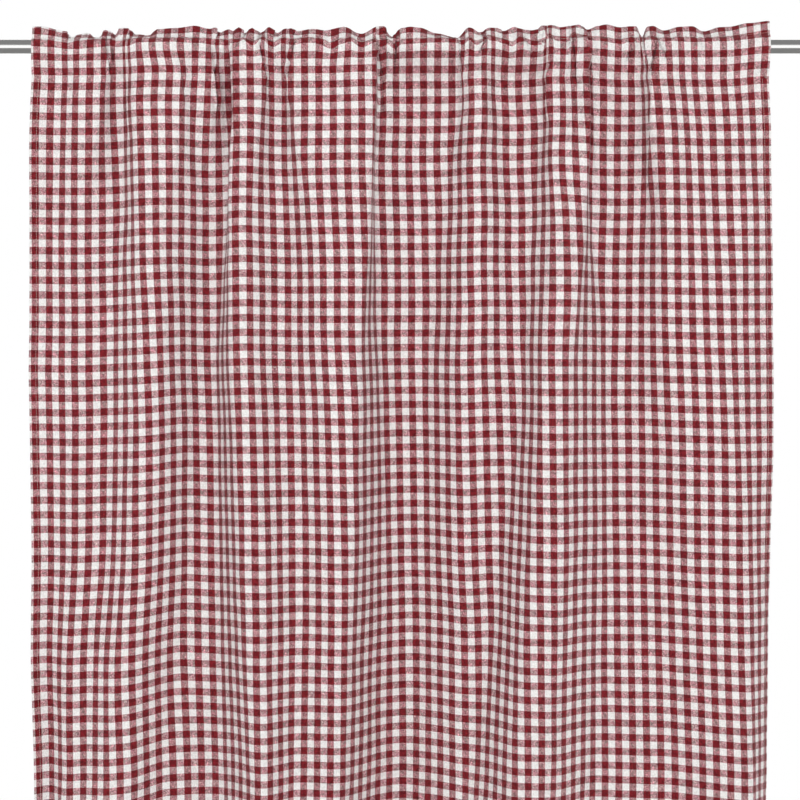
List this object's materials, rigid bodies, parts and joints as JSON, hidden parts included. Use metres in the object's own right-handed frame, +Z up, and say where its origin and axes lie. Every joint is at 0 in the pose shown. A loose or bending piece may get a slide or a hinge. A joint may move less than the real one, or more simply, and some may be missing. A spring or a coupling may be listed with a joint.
{
  "type": "gathered curtain panel on a rod",
  "caption": "Gingham curtain panel with side hems, a rod pocket and a small frill, hanging gathered in uneven soft folds from a plain round rod.",
  "frame": {"origin": "middle of the rod's axis", "axes": "+X along the rod to the viewer's right, +Z up, and -Y out of the cloth's good side towards the viewer"},
  "size_m": [1.2, 0.129, 2.405],
  "materials": {
    "gingham_cloth": "matt plain-woven cotton in wine red and off-white checks, 20 mm to the repeat",
    "brushed_steel": "satin steel, brushed along its length"
  },
  "bodies": {
    "root": {"curtain_panel": "gingham_cloth", "curtain_rod": "brushed_steel"}
  },
  "joints": []
}
